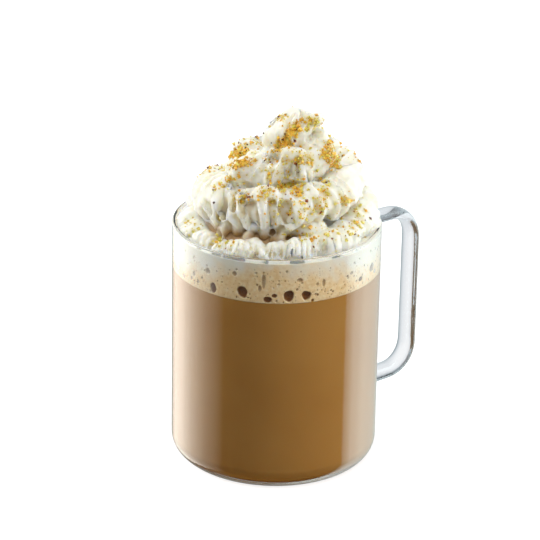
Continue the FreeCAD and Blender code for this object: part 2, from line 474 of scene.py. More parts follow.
def finish_mug():
    """Clear glass for the mug, and painted grey-blue shade on the sides of its handle's thick rod."""
    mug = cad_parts["mug"]
    # The last stops are painted shade: a dark outline on the mug, and grey-blue on the rod's sides.
    clear = ((0.0, (0.97, 0.985, 0.985)), (0.80, (0.94, 0.96, 0.955)), (1.0, (0.50, 0.52, 0.50)))
    rod = ((0.0, (0.97, 0.985, 1.0)), (0.16, (0.93, 0.96, 0.98)), (0.38, (0.66, 0.70, 0.74)),
           (0.6, (0.62, 0.66, 0.70)), (1.0, (0.56, 0.60, 0.64)))
    mug.data.materials.clear()
    mug.data.materials.append(make_glass("clear_glass", 1.5, clear))
    mug.data.materials.append(make_glass("clear_glass_rod", 1.4, rod))
    for face in mug.data.polygons:
        outside = math.hypot(face.center.x, face.center.y) > handle_starts * MM
        face.material_index = 1 if outside else 0
    # Clear glass would otherwise darken what is in it.
    mug.visible_shadow = False


# ==== Coffee and foam ====

def make_coffee(material):
    """Coffee up to the foam, with the inner corner's rounding."""
    low = coffee_low.z - wet_gap - into_wall
    corner_steps = 12
    top_edge = 0.2
    profile = [(0, low), (fill_radius - inner_corner, low)]
    for i in range(1, corner_steps):
        turn = math.pi / 2 * i / corner_steps
        profile.append((fill_radius - inner_corner + inner_corner * math.sin(turn),
                        low + inner_corner - inner_corner * math.cos(turn)))
    profile += [(fill_radius, z) for z in np.linspace(low + inner_corner, coffee_top - top_edge, 12)]
    profile += [(fill_radius, coffee_top), (fill_radius - top_edge, coffee_top), (0, coffee_top)]
    points, faces = lathe(profile, 240)
    piece = new_piece("coffee_fill", points, faces, material)
    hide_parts("coffee")
    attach(piece, "root")


# Large bubbles against the glass: bearing, height, half width and half height.
seen_bubbles = (
    (-37, 86.0, 1.35, 2.2), (-19, 87.3, 2.0, 2.4), (-4.5, 84.8, 1.7, 1.3), (-1, 86.6, 1.1, 0.9),
    (7, 86.4, 2.1, 2.5), (17, 86.2, 1.9, 1.9), (20.5, 83.9, 0.6, 0.6), (-23.5, 94.4, 0.9, 1.1),
    (-41, 92.4, 1.2, 1.3), (-52, 88.6, 0.9, 1.1), (46, 91.6, 1.0, 0.7), (54, 87.3, 1.2, 1.0),
    (-7, 92.6, 0.8, 3.2), (-9, 89.4, 0.7, 1.4), (13, 93.0, 1.3, 0.9), (27, 90.6, 0.7, 1.6),
)
dark_below = 88.5  # the low ones of these open on the coffee, and get the darkest painted shade
small_bubbles = 900

# The foam's top inside the mug, under the cream: share of the radius, and height above the side.
foam_top_rings = ((0.99, 0.2), (0.95, 0.6), (0.88, 1.4), (0.8, 3.0), (0.7, 6.5), (0.6, 10.0),
                  (0.4, 12.0), (0.2, 12.5))


def bubbles():
    """Bearing, height, half width, half height and darkness of the painted shade in every bubble
    against the glass.
    """
    rng = np.random.default_rng(5)
    low, high = coffee_top, foam_top
    found = [(*bubble, 1.0 if bubble[1] < dark_below else 0.45) for bubble in seen_bubbles]
    # Large ones go on round the sides and the back, where the front's end.
    bearing = 66.0
    while bearing < 300:
        size = rng.uniform(0.5, 2.1)
        found.append((bearing, low + size + rng.uniform(0.2, 3.4) ** 1.3, size,
                      size * rng.uniform(0.8, 1.3), rng.uniform(0.6, 1.0)))
        bearing += rng.uniform(3.5, 19)
    for _ in range(small_bubbles):
        share = rng.uniform(0, 1)
        size = 0.16 + 0.42 * rng.uniform(0, 1) ** 4
        found.append((rng.uniform(-180, 180), low + (high - low) * share ** 1.1 + 0.3, size,
                      size * rng.uniform(0.8, 1.4), rng.uniform(0.25, 0.9) * (1.1 - 0.5 * share)))
    return found


def make_foam(material):
    """Foam behind the glass with bubbles as hollows in its side, and a low mound inside the mug."""
    columns, rows = 1140, 70
    low, high = coffee_top - 0.3, foam_top + 3.0  # into the coffee, and up behind the cream
    turn, height = np.meshgrid(np.arange(columns) * 360 / columns, np.linspace(low, high, rows))
    angle = azimuth(turn)
    depth = np.zeros_like(turn)
    dark = np.zeros_like(turn)
    wall = ring(fill_radius, angle, height)
    ragged = 1 + 0.12 * waves(wall.reshape(-1, 3), 3.6, 43).reshape(turn.shape)
    for bearing, z, half_width, half_height, darkness in bubbles():
        along = half_turn(turn - bearing) * math.pi / 180 * fill_radius
        off = (along / half_width) ** 2 + ((height - z) / half_height) ** 2
        inside = np.sqrt(np.clip(1 - off * ragged, 0, 1))
        depth = np.maximum(depth, min(half_width, half_height) * 0.8 * inside)
        # Painted shade inside each bubble.
        dark = np.maximum(dark, darkness * np.clip(inside * 2.2, 0, 1))
    side = ring(fill_radius - depth, angle, height)
    top = [ring(share * fill_radius, angle[0], high + rise) for share, rise in foam_top_rings]
    points, faces = tube(list(side) + top)
    piece = new_piece("foam_layer", points, faces, material)

    # The side is paler towards its top, where cream has melted on it, and away from the front as
    # painted light on the lit sides, in patches.
    off_front = np.abs(half_turn(turn))
    rise = (height - coffee_top) / (foam_top - coffee_top)
    patchy = waves(side.reshape(-1, 3), 16.0, 41).reshape(turn.shape)
    fine = waves(side.reshape(-1, 3), 4.0, 42).reshape(turn.shape)
    melted_cream_and_painted_light = 1.5 * (rise - 0.80) + smooth_step((off_front - 12) / 45) + 0.16 * patchy + 0.07 * fine
    # The top has painted shade, dark brown, in the recess at the front, a little left of the middle,
    # and is pale elsewhere.
    off_recess = np.abs(half_turn(bearings(points) + 15))
    inwards = smooth_step((0.92 - np.hypot(points[:, 0], points[:, 1]) / fill_radius) / 0.08)
    red = 0.62 * (1 - smooth_step((off_recess - 45) / 25)) * inwards
    green = np.maximum(smooth_step((off_recess - 38) / 20), 1 - inwards)
    red[:rows * columns] = dark.ravel()
    green[:rows * columns] = np.clip(melted_cream_and_painted_light, 0, 1).ravel()
    add_marks(piece.data, red, green)
    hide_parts("milk_foam")
    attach(piece, "root")


# ==== Whipped cream ====

# The rope along its coil: turns, outer radius, height, rope radius, hollow depth, flute pitch.
# Whole turns apart, it passes the same side. It faces the camera at 0.63, 1.63 and 2.63 turns.
coil_start_bearing = 134.0
coil_keys = np.array((
    (0.30, 40.0, 98.5, 3.2, 0.9, 4.6),
    (0.45, 40.2, 100.3, 4.6, 0.9, 3.6),
    (0.58, 40.2, 101.2, 5.0, 1.2, 3.0),
    (0.66, 40.2, 101.8, 5.4, 1.4, 2.8),
    (0.76, 40.0, 103.6, 6.4, 1.0, 3.6),
    (0.88, 39.6, 107.5, 9.0, 1.0, 7.0),
    (1.13, 37.5, 110.0, 9.0, 2.4, 6.5),
    (1.38, 35.8, 113.0, 8.8, 1.3, 8.0),
    (1.46, 35.8, 114.8, 8.8, 2.4, 7.0),
    (1.51, 35.6, 115.8, 8.6, 1.8, 6.0),
    (1.60, 35.2, 117.0, 8.8, 1.6, 6.0),
    (1.70, 34.4, 118.0, 8.8, 1.8, 8.0),
    (1.88, 31.8, 120.5, 9.2, 1.2, 8.5),
    (2.13, 28.5, 124.0, 8.8, 2.0, 6.5),
    (2.38, 26.0, 124.8, 7.8, 2.2, 7.0),
    (2.52, 23.5, 126.8, 7.8, 1.6, 6.4),
    (2.66, 21.5, 130.5, 8.0, 1.6, 6.4),
    (2.88, 17.0, 134.0, 8.6, 1.4, 7.0),
    (3.13, 15.0, 137.0, 8.8, 2.0, 7.0),
    (3.38, 13.4, 139.5, 9.4, 2.4, 7.0),
    (3.60, 12.4, 141.0, 8.6, 2.0, 7.0),
    (3.80, 8.6, 143.0, 6.4, 1.6, 5.0),
    (3.95, 5.4, 146.0, 3.2, 0.8, 4.0),
))
swirl_lean = 7.5  # how far the swirl's top leans to the viewer's right
swirl_height = 41.7  # and that top's height above the rim


def lean(points):
    """Leans the swirl to the viewer's right, more with height."""
    share = np.clip((points[..., 2] - rim_height) / swirl_height, 0, None)
    direction = azimuth(90.0)
    moved = points.copy()
    moved[..., 0] += swirl_lean * share * math.cos(direction)
    moved[..., 1] += swirl_lean * share * math.sin(direction)
    return moved


def smoothed(values, width):
    """A running average over so many samples, with the ends held."""
    kernel = np.hanning(width + 2)[1:-1]
    padded = np.pad(values, width // 2, mode="edge")
    return np.convolve(padded, kernel / kernel.sum(), mode="valid")[:len(values)]


def fluted_rope(centre, outward, radius, depth, pitch, length):
    """Rings of a rope with U-shaped hollows between thin ridges that run across it.

    psi goes round the rope from 0, which is outward, to a quarter turn, which is up. u counts the
    flutes along the rope, and wanders and sways as a hand does.
    """
    skew = 0.45  # how far a flute slants, in flutes a radian
    ridge = 0.4  # half of a ridge's thickness
    rounding = 0.9  # of the hollows' corners
    chances = 4000
    rng = np.random.default_rng(11)
    psi = np.linspace(-math.pi, math.pi, 220, endpoint=False)[None, :]
    wander = smoothed(rng.normal(size=len(length)), 41) * 1.9
    sway = smoothed(rng.normal(size=len(length)), 121) * 3.0
    u = (np.cumsum(np.gradient(length) / pitch) + wander)[:, None]
    u = u + (skew + sway[:, None]) * psi + 0.16 * np.sin(2.0 * psi + 0.9 * u)
    flute = np.floor(u).astype(int)
    table = rng.uniform(size=chances)
    chance = table[flute % chances]
    other = table[(flute * 7 + 13) % chances]
    radius, depth = radius[:, None], depth[:, None]

    # How far a point is inside its hollow: from the nearer ridge, the lower end and the upper end.
    side = np.minimum(u - flute, flute + 1 - u) * pitch[:, None] - ridge
    bottom = radius * (psi + math.radians(80) - 0.7 * (chance - 0.5)) - ridge
    top = radius * (math.radians(120) + 0.9 * (other - 0.5) - psi) - ridge
    inward = -rounding * np.log(np.exp(-side / rounding) + np.exp(-bottom / rounding)
                                + np.exp(-top / rounding))
    hollow = smooth_step(inward / 2.0 + 0.30)
    lip = np.exp(-((psi + math.radians(62)) / 0.5) ** 2) * (1 - hollow)
    reach = radius - depth * (0.55 + 0.9 * other) * hollow
    reach = reach + depth * (0.30 * lip + 0.25 * (chance - 0.5))
    reach = np.maximum(reach, 0.35 * radius)
    upward = np.array((0.0, 0.0, 1.0))
    return (centre[:, None, :] + outward[:, None, :] * (reach * np.cos(psi))[..., None]
            + upward * (reach * np.sin(psi))[..., None])


def make_coil():
    """The main rope."""
    count = 1500
    turns = np.linspace(coil_keys[0, 0], coil_keys[-1, 0], count)
    outer, height, radius, depth, pitch = (
        smoothed(np.interp(turns, coil_keys[:, 0], coil_keys[:, i]), 61) for i in range(1, 6))
    angle = azimuth(coil_start_bearing + 360 * turns)
    wobble = 0.5 * np.sin(2 * math.pi * turns * 2.3 + 0.5) + 0.4 * np.sin(2 * math.pi * turns * 3.7)
    distance = np.maximum(outer - radius, 0.4) + wobble * np.clip((3.4 - turns) * 2, 0, 1)
    height = height + 0.5 * np.sin(2 * math.pi * turns * 2.9 + 2.0)
    centre = ring(distance, angle, height)
    run = np.maximum(distance + 0.5 * radius, 5.0) * 2 * math.pi * (turns[1] - turns[0])
    return tube(lean(fluted_rope(centre, ring(1, angle, 0), radius, depth, pitch, np.cumsum(run))))


def make_core():
    """The cream behind the rope."""
    profile = ((0, 1), (20, 1), (21.5, 8), (22.5, 13), (22.5, 17), (20, 24), (14, 33), (8, 40),
               (3, 44), (0, 45))
    points, faces = lathe([(radius, cream_bottom + height) for radius, height in profile], 90)
    return lean(points), faces


# Lumps and smears of cream: bearing, distance from the axis, height, and half sizes across,
# in and out, and up.
lumps = (
    # at the front and the sides
    (-60, 20.5, 127.8, 5.6, 6.0, 5.4), (-72, 34.0, 101.5, 9.0, 5.0, 4.5),
    (-52, 35.5, 100.6, 8.0, 3.6, 3.6), (-88, 33.5, 103.0, 8.0, 5.5, 5.0),
    (-38, 36.5, 100.4, 5.0, 2.8, 2.6), (52, 35.5, 104.0, 9.0, 4.5, 5.0),
    (34, 36.2, 101.8, 7.0, 3.6, 3.8), (75, 35.0, 104.5, 9.0, 5.0, 6.0),
    (8, 27.0, 109.6, 6.0, 4.0, 3.6), (24, 28.5, 110.0, 7.0, 5.0, 4.0),
    (-8, 15.0, 136.2, 7.5, 3.6, 2.6), (40, 16.0, 134.0, 7.0, 5.0, 4.5),
    # along the rim at the back
    (100, 34.8, 103.5, 9.0, 5.0, 5.5), (124, 34.6, 102.6, 9.5, 5.2, 5.0),
    (148, 34.6, 102.8, 9.0, 5.2, 5.2), (171, 34.8, 101.6, 9.5, 5.0, 4.4),
    (-165, 34.6, 102.4, 9.0, 5.2, 5.0), (-141, 34.8, 101.8, 9.5, 5.0, 4.6),
    (-116, 34.6, 102.6, 9.5, 5.2, 5.2),
    # in the recess at the front
    (-34, 29.0, 107.5, 2.6, 2.4, 3.6), (-24, 30.0, 106.0, 2.2, 2.6, 2.6),
    (-12, 28.5, 107.8, 2.4, 2.2, 3.4), (-44, 31.0, 106.5, 3.0, 2.6, 3.6),
    (0, 30.0, 106.6, 3.4, 2.6, 2.6), (-17, 33.0, 104.8, 2.6, 1.8, 2.2),
    # at the top
    (62, 8.0, 147.0, 4.6, 3.8, 3.4), (-80, 3.5, 146.6, 3.4, 3.2, 3.0),
)


def make_lump(bearing, distance, height, across, out, up):
    """An ellipsoid of cream that leans with the swirl."""
    outward, sideways = spot(bearing, 1, 0), spot(bearing + 90, 1, 0)
    middle = spot(bearing, distance, height)
    rows = []
    for latitude in np.radians(np.linspace(-80, 80, 17)):
        flat = math.cos(latitude)
        rows.append([middle + outward * (out * flat * math.cos(turn))
                     + sideways * (across * flat * math.sin(turn))
                     + Vector((0, 0, up * math.sin(latitude)))
                     for turn in np.linspace(0, 2 * math.pi, 40, endpoint=False)])
    points, faces = tube(np.array(rows))
    return lean(points), faces


# Hollows with thin rims where the nozzle folded the cream, seen from the front: millimetres
# right of the axis, top and bottom up from the rim's middle, half width, depth, tilt in degrees
# and how high the rim stands.
troughs = (
    (-22.0, 15.0, -1.4, 2.7, 3.7, 3, 1.0), (-17.4, 13.0, 2.0, 1.4, 2.8, 0, 0.6),
    (-8.6, 7.5, -5.6, 2.8, 3.9, -12, 1.1), (-2.2, 8.5, -4.8, 2.3, 3.7, 0, 1.1),
    (-13.4, 10.0, 0.0, 1.6, 2.8, -6, 0.7), (7.0, 8.5, -3.5, 3.4, 3.0, -32, 0.8),
    (-28.4, 8.5, -0.8, 3.0, 2.4, 4, 0.4), (-3.6, 28.0, 20.0, 3.3, 3.7, 14, 1.0),
    (4.6, 23.0, 15.8, 1.4, 2.7, 10, 0.7), (8.6, 23.0, 15.4, 1.5, 2.7, -10, 0.7),
    (12.8, 20.5, 14.0, 1.6, 2.4, -18, 0.6), (16.5, 9.0, 1.0, 2.2, 1.6, -14, 0.4),
)


def rim_ribs():
    """Fine troughs in the cream that lies along the front of the rim."""
    rng = np.random.default_rng(51)
    wreath_radius = 39.0
    found = []
    right = -27.0
    while right < 23:
        wreath = -math.sin(view_rise) * math.sqrt(wreath_radius ** 2 - right ** 2)
        bottom = wreath - rng.uniform(0.0, 1.2)
        found.append((right, bottom + rng.uniform(5.0, 8.5), bottom, rng.uniform(0.5, 0.95),
                      rng.uniform(0.9, 1.9), rng.uniform(-24, 24) - right * 0.5, 0.35))
        right += rng.uniform(1.5, 3.1)
    return found


def with_troughs(mesh):
    """A mesh's points with the troughs pressed into the cream's front."""
    points, normals, surface = mesh_points(mesh), read_vertices(mesh, "normal"), surface_of(mesh)
    toward_eye = np.array(toward_camera)
    middle = np.array((0, 0, rim_height))
    across, up, near = ((points - middle) @ np.array(axis)
                        for axis in (view_right, view_up, toward_camera))
    facing = smooth_step((normals @ toward_eye + 0.1) / 0.3)
    moved = points.copy()
    for right, top, bottom, half_width, depth, tilt, rim in [*troughs, *rim_ribs()]:
        start, direction = front_ray(right, (top + bottom) / 2)
        hit = surface.ray_cast(start * MM, direction)[0]
        if hit is None:
            continue
        hit = np.array(hit) / MM
        level = (hit - middle) @ toward_eye
        # x and y run across and along the trough, from the centre of its round bottom end.
        angle = math.radians(tilt)
        x = (across - right) * math.cos(angle) - (up - bottom) * math.sin(angle)
        y = (across - right) * math.sin(angle) + (up - bottom) * math.cos(angle) - half_width
        edge = np.where(y < 0, np.hypot(x, y), np.abs(x)) - half_width
        # It runs out in the last 3 mm at its top, and 5 to 7 mm nearer or further than its middle.
        fade = 1 - smooth_step((y + half_width - (top - bottom) + 3) / 3)
        share = facing * fade * (1 - smooth_step((np.abs(near - level) - 5) / 2))
        hollow = smooth_step(-edge / 1.2 - 0.1)
        lip = np.exp(-((edge - 0.1) / 0.6) ** 2)
        outward = np.array((hit[0], hit[1], 0.0))
        outward = outward / np.linalg.norm(outward) + toward_eye
        outward /= np.linalg.norm(outward)
        moved += ((rim * lip - depth * hollow) * share)[:, None] * outward
    return moved


def uneven(points):
    """How far the cream's skin stands out: waves of many sizes, and more on the melted wreath."""
    height = 0.55 * waves(points, 14.0, 20) + 0.20 * waves(points, 6.0, 21)
    height += 0.07 * waves(points, 2.8, 22) + 0.03 * waves(points, 1.4, 23)
    across = np.hypot(points[:, 0], points[:, 1])
    melted = smooth_step((across - 30) / 4) * smooth_step((108.5 - points[:, 2]) / 3)
    return height + melted * (0.32 * waves(points, 8.0, 24) + 0.13 * waves(points, 3.2, 25))


def hold_in_glass(points):
    """Draws in the points that would lie in the glass."""
    across = np.hypot(points[:, 0], points[:, 1])
    limit = contents_radius - 0.02
    over = (across > limit) & (points[:, 2] < rim_height + 1.0)
    points[over, :2] *= (limit / across[over])[:, None]


cream_triangles = 185000


def make_cream(material):
    """One skin round the rope, the core and the lumps, folded, uneven and thinned out."""
    points, faces = joined([make_coil(), make_core()] + [make_lump(*lump) for lump in lumps])
    piece = new_piece("cream_swirl", points, faces, material)
    remesh = piece.modifiers.new("one_skin", "REMESH")
    remesh.mode = "VOXEL"
    remesh.voxel_size = 0.45 * MM
    smooth = piece.modifiers.new("soften", "SMOOTH")
    smooth.factor = 0.5
    smooth.iterations = 3
    apply_modifiers(piece)
    mesh = piece.data
    delete_from(mesh, stray_points, "VERTS")
    points = with_troughs(mesh)
    set_mesh_points(mesh, points)
    points += read_vertices(mesh, "normal") * uneven(points)[:, None]
    hold_in_glass(points)
    set_mesh_points(mesh, points)
    fewer = piece.modifiers.new("fewer", "DECIMATE")
    fewer.ratio = cream_triangles / sum(len(face.vertices) - 2 for face in mesh.polygons)
    fewer.use_collapse_triangulate = True
    apply_modifiers(piece)
    delete_from(piece.data, doubled_faces, "FACES")
    piece.data.shade_smooth()
    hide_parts("whipped_cream")
    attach(piece, "root")
    return piece


# ==== Crumbs ====

# Where crumbs lie, seen from the front: millimetres right of the axis and up from the rim's
# middle, then how far they spread both ways, their tilt in degrees, how many, and how many of
# ten are orange.
crumb_patches = (
    (4.2, 33.2, 6.0, 2.0, 50, 240, 8), (2.2, 29.4, 4.0, 1.6, 28, 100, 8),
    (-16.0, 27.0, 3.2, 2.0, 0, 150, 6), (-15.0, 21.6, 3.6, 1.6, 10, 120, 8),
    (19.8, 27.5, 2.6, 3.4, 0, 120, 6), (22.0, 23.0, 3.4, 2.2, -35, 100, 7),
    (4.5, 13.0, 4.5, 2.0, 10, 120, 4), (8.0, 9.8, 1.8, 1.4, 0, 28, 9),
    (26.5, 7.4, 2.6, 1.6, 0, 36, 6), (-19.0, 15.4, 2.2, 1.2, 0, 28, 8),
    (-23.0, 12.5, 2.4, 2.0, 0, 32, 4), (0.0, 41.5, 3.6, 2.4, 0, 64, 2),
    (14.0, 38.0, 3.6, 3.0, 0, 68, 2), (10.0, 24.0, 8.0, 3.5, 0, 90, 3),
    (18.5, 9.5, 1.8, 7.0, 0, 68, 3), (-4.5, 9.0, 3.0, 4.0, 0, 72, 5),
    (-14.5, 7.5, 3.0, 3.0, 0, 52, 3), (31.0, 2.0, 4.5, 6.0, 0, 52, 3),
    (28.0, -4.0, 6.0, 3.0, 0, 28, 2), (14.0, -6.0, 9.0, 3.0, 0, 44, 3),
    (-34.0, -4.0, 4.0, 4.0, 0, 24, 1), (-20.0, -9.5, 6.0, 2.0, 0, 32, 2),
    (8.0, 4.0, 13.0, 10.0, 0, 160, 3), (-2.0, 21.0, 14.0, 6.0, 0, 120, 4),
)
# The larger dark specks at the front: right, up and half size.
dark_specks = (
    (4.5, 1.4, 0.60), (14.4, -10.8, 0.55), (-25.0, 5.8, 0.50), (-9.8, 8.6, 0.45), (9.8, -5.6, 0.55),
    (37.0, 0.8, 0.70), (21.4, -7.6, 0.60), (30.8, -5.6, 0.50), (-12.5, 30.0, 0.45), (26.6, 7.3, 0.55),
    (7.8, 10.0, 0.60), (-19.0, 15.3, 0.55), (-6.0, 34.0, 0.4), (9.0, 27.0, 0.4),
)
crumbs_at_back = 520
# The kinds of crumb: their dark and light colour, and their roughness.
crumb_kinds = {
    "golden": ((0.58, 0.46, 0.05), (0.88, 0.75, 0.20), 0.35),
    "orange": ((0.64, 0.31, 0.02), (0.90, 0.58, 0.08), 0.30),
    "dark": ((0.06, 0.02, 0.01), (0.36, 0.09, 0.02), 0.30),
}


def crumb_size(rng):
    """A crumb's half size: small ones are many, large ones few."""
    return 0.26 + 0.62 * rng.uniform() ** 3


def crumb_shape(rng, size):
    """A broken bit: a cube or an octahedron with its corners pushed about."""
    if rng.uniform() < 0.5:
        corners = np.array([(x, y, z) for x in (-1, 1) for y in (-1, 1) for z in (-1, 1)]) * 0.62
        faces = [(0, 1, 3, 2), (4, 6, 7, 5), (0, 4, 5, 1), (2, 3, 7, 6), (0, 2, 6, 4), (1, 5, 7, 3)]
    else:
        corners = np.array([(1, 0, 0), (-1, 0, 0), (0, 1, 0), (0, -1, 0), (0, 0, 1), (0, 0, -1)], float)
        faces = [(0, 2, 4), (2, 1, 4), (1, 3, 4), (3, 0, 4), (2, 0, 5), (1, 2, 5), (3, 1, 5), (0, 3, 5)]
    corners = corners * rng.uniform(0.65, 1.35, 3) + rng.uniform(-0.22, 0.22, corners.shape)
    spin = np.array(Matrix.Rotation(rng.uniform(0, 6.28), 3, Vector(rng.normal(size=3)).normalized()))
    return corners @ spin.T * size, faces


def crumb_places(surface):
    """Spots on the cream with their kind: (point, normal, size, kind)."""
    rng = np.random.default_rng(31)
    found = []

    def land(start, direction, size, kind):
        point, normal, _, _ = surface.ray_cast(start * MM, direction)
        if point is not None:
            found.append((point / MM, normal, size, kind))

    for right, up, wide, high, tilt, count, orange in crumb_patches:
        cosine, sine = math.cos(math.radians(tilt)), math.sin(math.radians(tilt))
        for _ in range(count):
            along, across = rng.normal() * wide * 0.6, rng.normal() * high * 0.6
            start, direction = front_ray(right + along * cosine - across * sine,
                                         up + along * sine + across * cosine)
            size = crumb_size(rng)
            kind = "orange" if rng.uniform() * 10 < orange else "golden"
            if rng.uniform() < 0.05:
                kind = "dark"
            land(start, direction, size, kind)
    for right, up, size in dark_specks:
        start, direction = front_ray(right, up)
        land(start, direction, size, "dark")
    for _ in range(crumbs_at_back):
        bearing, distance = rng.uniform(95, 265), 36 * math.sqrt(rng.uniform(0.0, 1.0))
        kind = ("golden", "golden", "orange", "orange", "dark")[int(rng.uniform(0, 4.3))]
        land(spot(bearing, distance, rim_height + 80), Vector((0, 0, -1)), crumb_size(rng), kind)
    return found


def melted_caramel(mesh, places):
    """How much of the melted gold and orange crumbs has come to each vertex."""
    tree = KDTree(len(mesh.vertices))
    for vertex in mesh.vertices:
        tree.insert(vertex.co, vertex.index)
    tree.balance()
    reach = 1.7 * MM
    amount = np.zeros(len(mesh.vertices))
    for point, _, size, kind in places:
        if kind == "dark":
            continue
        for _, index, distance in tree.find_range(point * MM, reach):
            amount[index] += size * 1.1 * (1 - distance / reach) ** 2
    return amount


def hollow_depths(mesh):
    """How far each vertex lies below the surface averaged over its neighbourhood, in millimetres."""
    points = mesh_points(mesh)
    count = len(points)
    ends = np.empty(len(mesh.edges) * 2, np.int32)
    mesh.edges.foreach_get("vertices", ends)
    first, second = ends.reshape(-1, 2).T
    links = np.bincount(first, minlength=count) + np.bincount(second, minlength=count)
    average = points.copy()
    rounds = 90
    for _ in range(rounds):
        total = [np.bincount(first, average[second, axis], count)
                 + np.bincount(second, average[first, axis], count) for axis in range(3)]
        average = 0.5 * average + 0.5 * np.stack(total, -1) / links[:, None]
    return ((average - points) * read_vertices(mesh, "normal")).sum(1)


def mark_cream(mesh, places):
    """Marks where caramel has melted on the cream, painted shade in its hollows, and painted shade in
    the brown recess.
    """
    points = mesh_points(mesh)
    caramel = 0.85 * (1 - np.exp(-0.75 * melted_caramel(mesh, places)))
    # Painted shade, deeper in deeper hollows and strongest low at the front.
    hollow = np.clip(hollow_depths(mesh) / 0.9 - 0.1, 0, 1)
    front = 1 - smooth_step((np.abs(half_turn(bearings(points) + 18)) - 26) / 24)
    lower = 1 - smooth_step((points[:, 2] - 113) / 12)
    inner = 1 - smooth_step((np.hypot(points[:, 0], points[:, 1]) - 31) / 3.5)
    # Painted shade in the recess at the front.
    recess = front * inner * (1 - smooth_step((points[:, 2] - 106.5) / 3.5))
    add_marks(mesh, caramel, hollow * (0.12 + 0.75 * front * lower), recess)


def make_crumbs(cream):
    """Crumbs of caramel and sugar, each sunk a little into the cream."""
    rng = np.random.default_rng(32)
    places = crumb_places(surface_of(cream.data))
    mark_cream(cream.data, places)
    for kind, finish in crumb_kinds.items():
        parts = []
        for point, normal, size, crumb_kind in places:
            if crumb_kind == kind:
                points, faces = crumb_shape(rng, size)
                parts.append((points + np.array(point + normal * size * 0.25), faces))
        points, faces = joined(parts)
        material = make_crumb_material(kind, *finish)
        piece = new_piece("crumbs_" + kind, points, faces, material)
        piece.data.shade_flat()
        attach(piece, "root")


# ==== Stage ====

# What the glass mirrors and what shows through it, by bearing: degrees and brightness.
mirrored_studio = ((-180, 0.7), (-150, 0.50), (-80, 0.40), (-60, 0.0), (60, 0.0), (83.5, 0.02),
                   (84.5, 1.3), (97, 3.6), (115, 3.5), (132, 2.2), (150, 1.3), (165, 0.9), (180, 0.7))
studio_behind = ((-180, 1.0), (-120, 1.0), (-95, 0.75), (-60, 0.32), (60, 0.32), (85, 0.40),
                 (128, 0.42), (142, 0.72), (158, 1.0), (180, 1.0))
mirrored_tint = (0.84, 1.0, 1.0)
# The tint of what shows through, by its brightness: bluer in the middle of the range.
behind_tints = ((0.0, (0.96, 0.97, 0.98)), (0.33, (0.96, 0.97, 0.98)), (0.40, (0.86, 0.95, 1.0)),
                (0.62, (0.88, 0.96, 1.0)), (0.95, (1, 1, 1)))
table_below = 0.72  # the brightness of the table, seen down through the glass
ambient = 0.42  # the world's plain level for matt surfaces
brightest = 5.0  # ramps hold a brightness as a share of this

# A bright card left of the mug, seen only in the glass: distance to the front of the axis and level.
card_left = ((60, 0.1), (50, 0.8), (37, 1.6), (25, 2.8), (14, 3.7), (5, 4.0), (-9, 3.0), (-29, 1.5),
             (-48, 0.8))
card_distance = 60.0
card_low, card_high = -30.0, 115.0
card_strength = 5.8

# Soft boxes: name, bearing, elevation, width and height in metres, and watts.
lamps = (
    ("lamp_right", 76, 8, 0.6, 0.8, 6.9),
    ("lamp_top", 0, 68, 0.5, 0.5, 3.7),
    ("lamp_left", -115, 25, 0.6, 0.8, 6.8),
)
lamp_distance = 0.9  # metres, from the point that they face
lamp_aim = Vector((0, 0, 0.09))


def hide_from(piece, *rays):
    """Makes a piece unseen by these kinds of rays."""
    for kind in rays:
        setattr(piece, "visible_" + kind, False)


def make_floor():
    """A white floor that keeps a soft shadow. It glows for the camera alone."""
    material, tree, surface = bare_material("floor_white")
    size = 6000
    corners = [(-size, -size, 0), (size, -size, 0), (size, size, 0), (-size, size, 0)]
    floor = new_piece("floor", corners, [(0, 1, 2, 3)], material)
    floor.location.z = -0.0002
    hide_from(floor, "glossy", "transmission")
    matt = tree.nodes.new("ShaderNodeBsdfDiffuse")
    matt.inputs["Color"].default_value = (0.5, 0.5, 0.5, 1)
    glow = tree.nodes.new("ShaderNodeEmission")
    # The lamps light the floor too, most of all round the mug, so it glows less there.
    level = map_range(tree, from_vector(tree, position_of(tree)), 0.15, 0.8, 0.70, 1.0)
    seen = tree.nodes.new("ShaderNodeLightPath").outputs["Is Camera Ray"]
    tree.links.new(math_node(tree, "MULTIPLY", level, seen), glow.inputs["Strength"])
    both = tree.nodes.new("ShaderNodeAddShader")
    tree.links.new(matt.outputs[0], both.inputs[0])
    tree.links.new(glow.outputs[0], both.inputs[1])
    tree.links.new(both.outputs[0], surface)


def by_bearing(tree, direction, table):
    """The table's brightness in a world direction."""
    right = from_vector(tree, direction, view_right)
    front = from_vector(tree, direction, spot(0, 1, 0))
    bearing = math_node(tree, "ARCTAN2", right, front)
    turn = map_range(tree, bearing, -math.pi, math.pi, 0.0, 1.0)
    stops = [((degrees + 180) / 360, (level / brightest,) * 3) for degrees, level in table]
    return math_node(tree, "MULTIPLY", add_ramp(tree, turn, stops), brightest)


